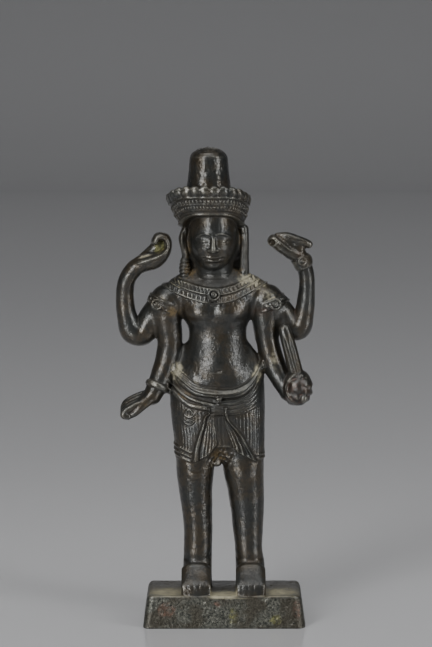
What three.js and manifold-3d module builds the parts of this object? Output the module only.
// A small cast bronze figure of the four-armed Vishnu, standing on a low block that was cast with it.
// Millimetres, +Z up. The figure faces -Y and the origin is the middle of the block's underside.

import * as THREE from "three";
import Module from "manifold-3d";
import { LoftGeometry } from "three/addons/geometries/LoftGeometry.js";
import { mergeVertices } from "three/addons/utils/BufferGeometryUtils.js";

const wasm = await Module();
wasm.setup();

// Driving dimensions
const figureHeight = 149; // soles to the top of the crown
const plinthHeight = 11;
const plinthWidth = 54.4; // at its foot
const plinthDepth = 26; // at its foot
const plinthTaper = 1.5; // how far each side leans in from foot to top
const plinthEdge = 1.4; // rounding of the upper edges
const plinthCorner = 1.6; // rounding of the upright corners
const toeMargin = 0.5; // from the toes to the front of the plinth's foot
const soleSink = 0.6; // how far the soles run into the plinth

// The figure's pose, proportions and carving are shares of its own height. Each is written
// in units of a 149th of that height, from the soles up and from the figure's middle out.
const unit = figureHeight / 149;
const toeReach = 12.5 * unit;
const figureY = toeReach + toeMargin - plinthDepth / 2;

const TURN = 2 * Math.PI;
const BODY_SIDES = 24;
const TOE_COUNT = 5;
const CROWN_RIB_COUNT = 16;
const FORWARD = new THREE.Vector3(0, -1, 0);

function at(x, y, z) {
  return new THREE.Vector3(x * unit, figureY + y * unit, plinthHeight + z * unit);
}

// A smooth curve through rows of numbers, read at any value of their first column
function smooth(rows) {
  const slope = (i, j) => {
    const a = rows[Math.max(i - 1, 0)];
    const b = rows[Math.min(i + 1, rows.length - 1)];
    return (b[j] - a[j]) / (b[0] - a[0]);
  };
  return (t) => {
    const last = rows.length - 2;
    const i = Math.min(Math.max(rows.findIndex((row) => row[0] > t) - 1, 0), last);
    const k = rows.at(-1)[0] <= t ? last : i;
    const span = rows[k + 1][0] - rows[k][0];
    const s = Math.min(Math.max((t - rows[k][0]) / span, 0), 1);
    return rows[k].map((value, j) => {
      const rise = rows[k + 1][j] - value;
      const m0 = slope(k, j) * span;
      const m1 = slope(k + 1, j) * span;
      return value + s * m0 + s * s * (3 * rise - 2 * m0 - m1) + s * s * s * (m0 + m1 - 2 * rise);
    });
  };
}

function range(count, from, to) {
  return Array.from({ length: count }, (_, i) => from + ((to - from) * i) / (count - 1));
}

function around(count) {
  return Array.from({ length: count }, (_, i) => (i / count) * TURN);
}

// Distance to the rim of a rounded oval, in the direction of an angle
function ovalRadius(angle, half, front, back, power) {
  const c = Math.abs(Math.cos(angle)) / half;
  const s = Math.abs(Math.sin(angle)) / (Math.sin(angle) < 0 ? front : back);
  return (c ** power + s ** power) ** (-1 / power);
}

// A point on an upright body: rows give height, middle x and y, half width, front, back, squareness
function onBody(body, angle, z, lift = 0) {
  const [, x, y, half, front, back, power] = body(z);
  const r = ovalRadius(angle, half, front, back, power) + lift;
  return at(x + r * Math.cos(angle), y + r * Math.sin(angle), z);
}

function solid(geometry) {
  const bare = new THREE.BufferGeometry().copy(geometry);
  bare.deleteAttribute("normal");
  bare.deleteAttribute("uv");
  const merged = mergeVertices(bare, 1e-4);
  const made = new wasm.Manifold(
    new wasm.Mesh({
      numProp: 3,
      vertProperties: merged.attributes.position.array,
      triVerts: new Uint32Array(merged.index.array),
    }),
  );
  if (made.volume() <= 0) throw new Error("a form is inside out");
  return made;
}

function joined(solids) {
  return solids.reduce((whole, next) => whole.add(next));
}

function loft(sections) {
  return solid(new LoftGeometry(sections, { capStart: true, capEnd: true }));
}

function upright(body, heights, sides, relief = () => 0) {
  return loft(heights.map((z) => around(sides).map((a) => onBody(body, a, z, relief(z)))));
}

// A ring that runs round the figure. Its place is given by an angle, a step out and a step up.
function ring(place, sides, thickness, height) {
  const geometry = new THREE.TorusGeometry(10, 1, 4, sides);
  const position = geometry.attributes.position;
  for (let i = 0; i < position.count; i++) {
    const x = position.getX(i);
    const y = position.getY(i);
    const out = (Math.hypot(x, y) - 10) * thickness;
    const point = place(Math.atan2(y, x), out, position.getZ(i) * height);
    position.setXYZ(i, point.x, point.y, point.z);
  }
  return solid(geometry);
}

function ball([x, y, z], [rx, ry, rz], across = 10, down = 7, tilt = 0) {
  const geometry = new THREE.SphereGeometry(1, across, down).rotateX(Math.PI / 2);
  geometry.scale(rx * unit, ry * unit, rz * unit).rotateY(tilt);
  const centre = at(x, y, z);
  return solid(geometry.translate(centre.x, centre.y, centre.z));
}

// A limb along rows of place x, y, z, half width across the front view and half depth
function limb(stations, sides, steps) {
  const path = new THREE.CatmullRomCurve3(stations.map(([x, y, z]) => at(x, y, z)), false, "centripetal");
  const widths = smooth(stations.map(([, , , a, b], i) => [i / (stations.length - 1), a, b]));
  const ringAt = (t, shrink, push) => {
    const tangent = path.getTangent(t);
    const side = new THREE.Vector3().crossVectors(FORWARD, tangent).normalize();
    const out = new THREE.Vector3().crossVectors(tangent, side).normalize();
    const [, a, b] = widths(t);
    const centre = path.getPoint(t).addScaledVector(tangent, push * Math.min(a, b) * unit);
    return around(sides).map((angle) =>
      centre
        .clone()
        .addScaledVector(side, Math.cos(angle) * a * shrink * unit)
        .addScaledVector(out, Math.sin(angle) * b * shrink * unit),
    );
  };
  const dome = sides > 5 ? [0.3, 0.8] : [0.55];
  const startDome = dome.map((s) => ringAt(0, s, -Math.sqrt(1 - s * s)));
  const endDome = dome.toReversed().map((s) => ringAt(1, s, Math.sqrt(1 - s * s)));
  return loft([...startDome, ...range(steps, 0, 1).map((t) => ringAt(t, 1, 0)), ...endDome]);
}

// Height, middle x, middle y, half width, front, back, squareness
const torso = smooth([
  [70, -2.3, 0.6, 13.2, 8.2, 8.2, 2.2],
  [76, -2.3, 0.5, 11.8, 8.4, 7.6, 2.2],
  [81, -2.3, 0.4, 10.6, 7.7, 6.8, 2.2],
  [85, -2.25, 0.3, 9.7, 6.8, 6.2, 2.2],
  [88.5, -2.25, 0.3, 9.75, 6.5, 6.2, 2.2],
  [92, -2.5, 0.3, 11.2, 7.2, 6.6, 2.3],
  [96, -2.7, 0.3, 12.9, 8, 7, 2.4],
  [100, -2.7, 0.3, 15.6, 7.7, 7, 2.3],
  [103.5, -2.6, 0.4, 16, 6.6, 6.4, 2],
  [106, -2.7, 0.5, 13, 5.8, 5.8, 2],
  [108, -3.1, 0.6, 9.2, 5.4, 5.4, 2],
  [110.5, -3.4, 0.6, 6.5, 5.6, 5.6, 2],
  [115, -3.5, 0.4, 6.4, 5.8, 5.8, 2],
]);

const skirt = smooth([
  [41, -1.4, 0.4, 14.7, 7.6, 7.2, 2.7],
  [46, -1.5, 0.5, 15, 7.9, 7.6, 2.7],
  [52, -1.7, 0.5, 15.2, 8.2, 8, 2.6],
  [58, -2.1, 0.6, 15.6, 8.4, 8.4, 2.5],
  [64, -2.3, 0.7, 15.8, 8.5, 8.8, 2.4],
  [70, -2.3, 0.7, 15.6, 8.4, 8.9, 2.3],
  [75, -2.4, 0.6, 14.9, 8.2, 8.6, 2.2],
  [79, -2.4, 0.5, 13.6, 7.8, 7.8, 2.2],
  [82.5, -2.4, 0.4, 11.4, 6.9, 6.9, 2.2],
  [84.5, -2.3, 0.4, 9, 5.6, 5.6, 2.2],
]);

const rightLeg = smooth([
  [-1, -9, 0.5, 4.9, 4.6, 4.4, 2.6],
  [8, -9, 0.6, 4.85, 4.5, 4.4, 2.6],
  [14, -8.85, 0.9, 4.75, 4.5, 4.8, 2.5],
  [20, -8.8, 1.2, 4.85, 4.9, 5.3, 2.5],
  [27, -9.2, 1.1, 5.15, 5.3, 5.6, 2.5],
  [34, -9.7, 0.8, 5.7, 5.8, 5.8, 2.5],
  [40, -9.75, 0.6, 6.3, 6.4, 6.2, 2.5],
  [48, -9.3, 0.6, 7, 7, 6.6, 2.5],
]);

const leftLeg = smooth([
  [-1, 8.8, 0.5, 4.95, 4.6, 4.4, 2.6],
  [8, 8.7, 0.6, 4.85, 4.5, 4.4, 2.6],
  [14, 8.2, 0.9, 4.6, 4.5, 4.8, 2.5],
  [20, 7.95, 1.2, 5.05, 4.9, 5.3, 2.5],
  [27, 7.7, 1.1, 5.6, 5.3, 5.6, 2.5],
  [34, 7.15, 0.8, 6.2, 5.8, 5.8, 2.5],
  [39, 6.6, 0.6, 6.7, 6.4, 6.2, 2.5],
  [48, 6, 0.6, 7.3, 7, 6.6, 2.5],
]);

function plinth() {
  const half = plinthWidth / 2;
  const deep = plinthDepth / 2;
  const slab = (z, inset) =>
    range(4, 0, 3).flatMap((corner) =>
      [0, 0.5, 1].map((step) => {
        const angle = ((corner + step) * Math.PI) / 2;
        const sx = corner === 0 || corner === 3 ? 1 : -1;
        const sy = corner < 2 ? 1 : -1;
        return new THREE.Vector3(
          sx * (half - inset - plinthCorner) + plinthCorner * Math.cos(angle),
          sy * (deep - inset * 0.6 - plinthCorner) + plinthCorner * Math.sin(angle),
          z,
        );
      }),
    );
  const brow = plinthHeight - plinthEdge;
  return loft([
    slab(0, 0),
    slab(brow, plinthTaper),
    slab(brow + plinthEdge * 0.7, plinthTaper + plinthEdge * 0.3),
    slab(plinthHeight, plinthTaper + plinthEdge),
  ]);
}

// One foot: rows of y, height, half width, from the heel to the toes
function foot(x) {
  const shape = smooth([
    [-toeReach / unit, 2.6, 4.9],
    [-11, 3.9, 5.3],
    [-8, 6.2, 5.3],
    [-5, 8.6, 5.1],
    [-3, 9.4, 4.8],
    [2, 8, 4.6],
    [5.6, 3.6, 3.8],
  ]);
  const section = (y) => {
    const [, height, half] = shape(y);
    const grooves = Math.min(Math.max((-y - 7.5) / 4, 0), 1);
    return range(11, 1, -1).map((s) => {
      const ridge = Math.abs(Math.cos((s * TOE_COUNT * Math.PI) / 2));
      const top = height * (1 - 0.32 * Math.abs(s) ** 3) * (1 - 0.22 * grooves * (1 - ridge));
      return at(x + s * half, y, top);
    });
  };
  const closed = (y) => {
    const [, , half] = shape(y);
    return [...section(y), at(x - half, y, -soleSink), at(x + half, y, -soleSink)];
  };
  return loft(range(5, 5.6, -toeReach / unit).map(closed));
}

// The height of a curve that hangs round a body, low in front, given its front, side and back
function hanging(angle, front, side, back) {
  const s = Math.sin(angle);
  return side + (s < 0 ? (side - front) * s * Math.abs(s) ** 0.6 : (back - side) * s);
}

// The skirt: upright pleats, and above them the folds of the sash and the roll of cloth at the hips
function skirtForm() {
  const pleat = (i) => (i % 2 ? -0.24 : 0.24);
  const pleated = (front, side, back) =>
    around(2 * BODY_SIDES).map((a, i) => onBody(skirt, a, hanging(a, front, side, back), pleat(i)));
  // Heights in front, at the side and behind, and how far each line stands out
  const lines = [
    [57, 60, 60, -0.6],
    [60.6, 66.6, 70, 0],
    [61.5, 67.6, 71, 0.9],
    [62.8, 69.2, 72.5, 0.15],
    [64, 70.9, 74.2, 0.9],
    [65.5, 73.2, 76.3, 0.15],
    [66.4, 75, 78, 1.3],
    [67.6, 76.3, 79.3, 1.8],
    [68.9, 77.6, 80.4, 1.2],
    [69.3, 78.4, 81, -0.2],
    [74, 82.4, 82.8, -0.2],
    [77, 84.6, 84.8, -0.4],
  ];
  const fold = ([front, side, back, lift]) =>
    around(BODY_SIDES).map((a) => {
      const facing = 0.2 + 0.8 * Math.sin(a) ** 2;
      return onBody(skirt, a, hanging(a, front, side, back), lift * facing);
    });
  const pleats = [pleated(44.6, 44.6, 44.6), pleated(52, 52, 52), pleated(61, 67, 70.4)];
  return joined([loft(lines.map(fold)), loft(pleats)]);
}

// The ribbed collar that lies on the shoulders and hangs low on the chest
function collar() {
  const place = (angle, out, up) => {
    const rib = 0.2 * Math.cos((BODY_SIDES / 2) * angle);
    return onBody(torso, angle, hanging(angle, 100.1, 104, 106.4) + up, out + 0.1 + rib);
  };
  return ring(place, BODY_SIDES, 1.1, 2.6);
}

// A pleated tail of the sash that fans out from the knot, seen from the front as angles from straight down
function flap(from, to, reachFrom, reachTo, pleats) {
  const knot = [-2.3, 61.5];
  const across = range(2 * pleats + 1, 0, 1);
  const reach = (u) => reachFrom + (reachTo - reachFrom) * u;
  const point = (u, t, lift) => {
    const angle = THREE.MathUtils.degToRad(from + (to - from) * u);
    const x = knot[0] + Math.sin(angle) * reach(u) * t;
    const z = knot[1] - Math.cos(angle) * reach(u) * t;
    const [, cx, cy, half, front, , power] = skirt(z);
    const share = Math.min(Math.abs(x - cx) / half, 0.98);
    return at(x, cy - front * (1 - share ** power) ** (1 / power) - lift, z);
  };
  const section = (t) => {
    const edge = across.map((u, i) => point(u, t, 0.35 + 0.75 * t + (i % 2 ? 0.45 * t : 0)));
    const back = across.toReversed().map((u) => point(u, t, -1.2));
    return [...edge, ...back];
  };
  return loft(range(4, 1, 0.16).map(section));
}

// Head, hidden under the crown above the brow
const headCentre = [-3.7, -0.6, 118.6];
const headHalf = [7.9, 8.7, 12];

function head() {
  const [cx, cy, cz] = headCentre;
  const [hx, hy, hz] = headHalf;
  const chin = cz - 10.2;
  const brow = chin + 12.3;
  const noseBase = chin + 6.2;
  const mouth = noseBase - 2.1;
  const eyes = brow - 2.2;
  const geometry = new THREE.SphereGeometry(1, 18, 13).rotateX(Math.PI / 2);
  const position = geometry.attributes.position;
  const bump = (x, z, x0, z0, wx, wz) => Math.exp(-(((x - x0) / wx) ** 2) - ((z - z0) / wz) ** 2);
  for (let i = 0; i < position.count; i++) {
    const ux = position.getX(i);
    const uy = position.getY(i);
    const uz = position.getZ(i);
    const wide = uz < 0 ? 1 - 0.2 * uz * uz : 1 + 0.45 * uz * uz;
    const deep = uz < 0 ? 1 - 0.12 * uz * uz : 1 + 0.45 * uz * uz;
    const x = hx * ux * wide;
    const z = uz * hz;
    const height = z + cz;
    const facing = Math.max(-uy, 0) ** 0.7;
    const eyeRow = bump(Math.abs(x), height, 3.3, eyes, 1.9, 1.3);
    const socket = bump(Math.abs(x), height, 2.7, eyes, 2.6, 1.9);
    const lips = bump(x, height, 0, mouth, 2.7, 1.1);
    const chinBall = bump(x, height, 0, chin + 1.6, 2.3, 1.7);
    const lift = 1.1 * chinBall + 0.8 * lips + 0.5 * eyeRow - 1.1 * socket;
    const point = at(cx + x, cy + hy * uy * deep - lift * facing, height);
    position.setXYZ(i, point.x, point.y, point.z);
  }
  const nose = limb(
    [
      [cx, cy - 7.9, brow - 0.4, 0.9, 1],
      [cx, cy - 8.7, brow - 2.8, 1, 1.1],
      [cx, cy - 9.1, noseBase + 1.2, 1.7, 1.2],
    ],
    6,
    3,
  );
  return joined([solid(geometry), nose]);
}

// Ears with long lobes: place, half width and half depth from the top down
function ears() {
  const right = limb(
    [
      [-13, 0.6, 121.4, 1.3, 2],
      [-13.8, 0.3, 118.5, 1.5, 2.2],
      [-13.2, 0.2, 114.5, 1.3, 1.9],
      [-12.8, 0, 111.2, 1.3, 1.5],
    ],
    6,
    5,
  );
  const pendant = limb(
    [
      [-13.2, -0.2, 110.9, 1.4, 1.5],
      [-13.3, -0.3, 108.6, 1.9, 1.9],
      [-13.2, -0.3, 106.2, 1.5, 1.5],
    ],
    6,
    3,
  );
  const left = limb(
    [
      [6.5, 0.6, 121.6, 1.7, 2],
      [6.7, 0.4, 117.5, 1.6, 2.2],
      [6.6, 0.2, 112.5, 1.6, 1.9],
      [6.6, 0, 106.4, 1.7, 1.7],
    ],
    6,
    5,
  );
  const nape = ball([-3.4, 2.6, 114], [10.4, 6, 12.6], 10, 6);
  return joined([right, pendant, left, nape]);
}

// The crown: a flaring diadem with a ribbed rim, open round a tall cover for the piled-up hair
function crown() {
  const wall = [
    [120, 6, 0, 3],
    [122.4, 9.8, 0, 4.6],
    [126.8, 12, 0.1, 3.5],
    [127.6, 12.9, -0.4, 3.4],
    [128.6, 12.7, 0.5, 3.4],
    [131.7, 14, 0.4, 3.4],
    [133.2, 13.2, 0.4, 3.4],
    [132.3, 10.6, 0, 3],
    [130.8, 8.8, 0, 1.4],
    [131.2, 7, 0, 1.4],
  ];
  const section = ([z, r, ribbed, rise]) =>
    around(2 * CROWN_RIB_COUNT).map((a, j) => {
      const front = Math.max(-Math.sin(a), 0) ** 2;
      const back = Math.max(Math.sin(a), 0);
      const radius = r + (j % 2 ? ribbed : 0);
      const lean = (-1.3 * (z - 122)) / 11;
      const height = z + rise * front - 1.5 * back;
      return at(-4.1 + lean + radius * Math.cos(a), 0.3 + 0.88 * radius * Math.sin(a), height);
    });
  const diadem = loft(wall.map(section));
  const profile = [
    [0, 126],
    [7.7, 129],
    [7.2, 135.5],
    [6.65, 139],
    [6.5, 143],
    [5.3, 146.2],
    [3.7, 147.3],
    [2.7, 148.5],
    [0, 149],
  ];
  const cover = new THREE.LatheGeometry(
    profile.map(([r, z]) => new THREE.Vector2(r * unit, z * unit)),
    14,
  );
  cover.rotateX(Math.PI / 2);
  const foot = at(-5.2, 0.3, 0);
  cover.translate(foot.x, foot.y, foot.z);
  return joined([diadem, solid(cover)]);
}

function arms() {
  const lowerRight = limb(
    [
      [-18.6, 0.2, 99.3, 6, 5.2],
      [-19, 0.5, 92, 4.8, 4.7],
      [-18.2, 0.6, 84, 4.2, 4.3],
      [-19.3, -0.2, 77, 4, 4],
      [-21.6, -1.8, 71, 3.6, 3.6],
      [-24, -3, 66.2, 3.3, 3.4],
    ],
    8,
    7,
  );
  const upperRight = limb(
    [
      [-19.5, 1.6, 98.5, 5, 4.6],
      [-24.3, 2, 91.6, 4.4, 4.2],
      [-27.4, 1.9, 86, 4.4, 4],
      [-30.8, 1.7, 86.8, 4.2, 3.8],
      [-32.4, 1.2, 92, 3.4, 3.3],
      [-33.1, 0.6, 98.5, 3, 3],
      [-32.4, -0.2, 104.5, 2.9, 2.9],
      [-29.6, -1, 108.8, 2.9, 2.8],
      [-25, -1.6, 111.4, 2.5, 3],
    ],
    8,
    11,
  );
  const lowerLeft = limb(
    [
      [13.6, 0.2, 99.3, 5.8, 5.2],
      [13.8, 0.5, 91, 4.6, 4.6],
      [14.3, 0.6, 84.5, 3.9, 4.1],
      [17.4, -0.6, 74.5, 3.7, 3.7],
      [21.4, -2.6, 67.6, 3.3, 3.4],
    ],
    8,
    7,
  );
  const upperLeft = limb(
    [
      [14.2, 1.6, 99, 5, 4.6],
      [19.2, 2, 93.2, 4.4, 4.2],
      [22.4, 1.9, 88, 4.2, 4],
      [25, 1.7, 88.6, 4, 3.8],
      [26.5, 1.2, 93, 3.3, 3.2],
      [27.3, 0.6, 100, 2.8, 2.9],
      [27.3, 0, 106, 2.6, 2.7],
      [25.9, -0.6, 111, 2.7, 2.8],
    ],
    8,
    10,
  );
  return joined([lowerRight, upperRight, lowerLeft, upperLeft]);
}

// A band round a limb: its middle, the limb's direction and the radius
function band([x, y, z], [dx, dy, dz], radius, thickness, height, sides = 8) {
  const axis = new THREE.Vector3(dx, dy, dz).normalize();
  const turn = new THREE.Quaternion().setFromUnitVectors(new THREE.Vector3(0, 0, 1), axis);
  const centre = at(x, y, z);
  const place = (angle, out, up) =>
    new THREE.Vector3(Math.cos(angle), Math.sin(angle), 0)
      .multiplyScalar((radius + out) * unit)
      .add(new THREE.Vector3(0, 0, up * unit))
      .applyQuaternion(turn)
      .add(centre);
  return ring(place, sides, thickness, height);
}

// A ring medallion with a bead in it, facing forward
function medallion(x, y, z, radius) {
  const profile = [
    [0, -1],
    [1.25, -1],
    [1.2, 0.4],
    [0.85, 0.7],
    [0.7, 0.1],
    [0.45, 0.6],
    [0, 0.8],
  ];
  const geometry = new THREE.LatheGeometry(
    profile.map(([r, out]) => new THREE.Vector2(r * radius * unit, out * unit)),
    8,
  );
  const centre = at(x, y, z);
  return solid(geometry.rotateX(Math.PI).translate(centre.x, centre.y, centre.z));
}

function jewellery() {
  return joined([
    collar(),
    medallion(-3.5, -8, 100.8, 1.9),
    medallion(-22.3, -4.7, 97, 1.6),
    medallion(16.8, -4.7, 97, 1.6),
    band([-21.2, 0.6, 97], [-0.4, 0, -0.9], 5.4, 0.7, 1.3),
    band([16, 0.6, 97], [0.35, 0, -0.93], 5.2, 0.7, 1.3),
    band([-22.4, -2.1, 69.4], [-0.42, -0.25, -0.9], 3.6, 0.8, 1),
    band([26.3, -0.4, 110.4], [-0.4, -0.15, 0.9], 2.7, 0.8, 1),
    medallion(26.4, -3.3, 111.2, 1.3),
  ]);
}

function sash() {
  return joined([
    ball([-2.4, -8.1, 62.4], [3.2, 1.9, 2.9], 8, 6),
    flap(-28, 0.5, 18.8, 12.2, 3),
    flap(3, 37, 12.4, 22.2, 4),
    ball([-1.6, -0.4, 46.6], [4.6, 4.6, 4.2], 8, 6),
  ]);
}

// A hand held palm up, whose fingers curl back over the disc lying in it
function discHand() {
  const hook = limb(
    [
      [-27, -1.3, 110.3, 2.8, 2.9],
      [-23.2, -1.8, 111.2, 2.8, 3.2],
      [-20.3, -2, 113.3, 2, 3.2],
      [-18.7, -2, 116.2, 1.3, 3.1],
      [-19.5, -2, 118.9, 1.5, 3],
      [-21.9, -2, 119.4, 1.6, 2.8],
      [-22.9, -2, 117.6, 1.3, 2.6],
    ],
    6,
    8,
  );
  const heel = ball([-23.9, -0.8, 114], [3.2, 2, 2.3], 8, 6, -0.6);
  const hollow = ball([-21, -0.6, 116.4], [2.2, 1.4, 2.4], 8, 5);
  return joined([hook, heel, hollow]);
}

// A hand with curled fingers that carries a conch, drawn as a bud lying on it
function conchHand() {
  const palm = limb(
    [
      [25, -1, 112.6, 2.6, 2.9],
      [21.6, -1.4, 114.4, 2.4, 3.1],
      [18.2, -1.6, 116.4, 2.1, 3.1],
      [16.3, -1.6, 118.1, 2.2, 3],
    ],
    8,
    4,
  );
  const conch = limb(
    [
      [17.6, -1.2, 119.8, 0.9, 1.2],
      [20.6, -1.4, 119.1, 1.8, 2],
      [24.4, -1.5, 118, 1.9, 2],
      [27.6, -1.5, 117.2, 1.2, 1.5],
      [28.8, -1.5, 117, 0.6, 0.8],
    ],
    8,
    5,
  );
  const stem = limb(
    [
      [25.2, -1, 112.4, 1.6, 1.8],
      [24.4, -1.2, 117, 1.4, 1.6],
    ],
    6,
    2,
  );
  return joined([palm, conch, stem]);
}

// An open hand turned out and down, with its finger tips bent over
function openHand() {
  const palm = limb(
    [
      [-24.2, -3, 66.4, 3, 3.4],
      [-27.4, -4, 64.3, 2.5, 3.9],
      [-30.4, -4.6, 62.9, 2.2, 3.9],
      [-32.4, -5, 61.9, 1.9, 3.6],
    ],
    7,
    3,
  );
  const fingers = range(4, -8, -2).map((y) =>
    limb(
      [
        [-31.4, y, 63, 1.2, 1.1],
        [-33.1, y - 0.1, 61.6, 1.2, 1.1],
        [-32.2, y - 0.2, 59.9, 1.1, 1],
        [-30.9, y - 0.2, 59.8, 0.9, 0.9],
      ],
      5,
      3,
    ),
  );
  return joined([palm, ...fingers]);
}

// A fist round the foot of a short mace that leans back against the upper arm
function maceHand() {
  const mace = limb(
    [
      [19.7, 0.4, 90.2, 1.7, 1.7],
      [21.6, -0.9, 83, 2, 2],
      [24.1, -3, 73.5, 2.1, 2.1],
      [26.6, -5.6, 64.6, 1.2, 1.2],
    ],
    8,
    5,
  );
  const fist = smooth([
    [63.2, 24.2, -3.4, 2, 1.8, 2, 2.2],
    [65, 24.5, -3.6, 3.8, 3.6, 3.2, 2.3],
    [68.2, 24.7, -3.8, 4.4, 4.3, 3.9, 2.4],
    [71.6, 24.6, -3.7, 4.1, 4, 3.6, 2.3],
    [73.4, 24.3, -3.4, 2.4, 2.4, 2.4, 2.2],
  ]);
  const knuckles = upright(fist, range(9, 63.2, 73.4), 8, (z) => 0.35 * Math.cos((z - 63.2) * 2.46));
  return joined([mace, knuckles]);
}

const figure = joined([
  upright(torso, [74, 80, 84, 88, 93, 98, 101, 103.5, 106, 109, 114], BODY_SIDES),
  skirtForm(),
  upright(rightLeg, [-soleSink / unit, 8, 15, 23, 33, 47], 14),
  upright(leftLeg, [-soleSink / unit, 8, 15, 23, 33, 47], 14),
  foot(-9),
  foot(8.8),
  arms(),
  head(),
  ears(),
  crown(),
  jewellery(),
  sash(),
  discHand(),
  conchHand(),
  openHand(),
  maceHand(),
]);

const whole = figure.add(plinth());
const { vertProperties, triVerts } = whole.getMesh();
const geometry = new THREE.BufferGeometry();
geometry.setAttribute("position", new THREE.BufferAttribute(vertProperties, 3));
geometry.setIndex(new THREE.BufferAttribute(triVerts, 1));
geometry.computeVertexNormals();

const bronze = new THREE.MeshStandardMaterial({ color: 0x37342d, roughness: 0.38, metalness: 0.85 });
const statue = new THREE.Mesh(geometry, bronze);
statue.name = "vishnu_figure_on_plinth";

const group = new THREE.Group();
group.add(statue);
export default group;
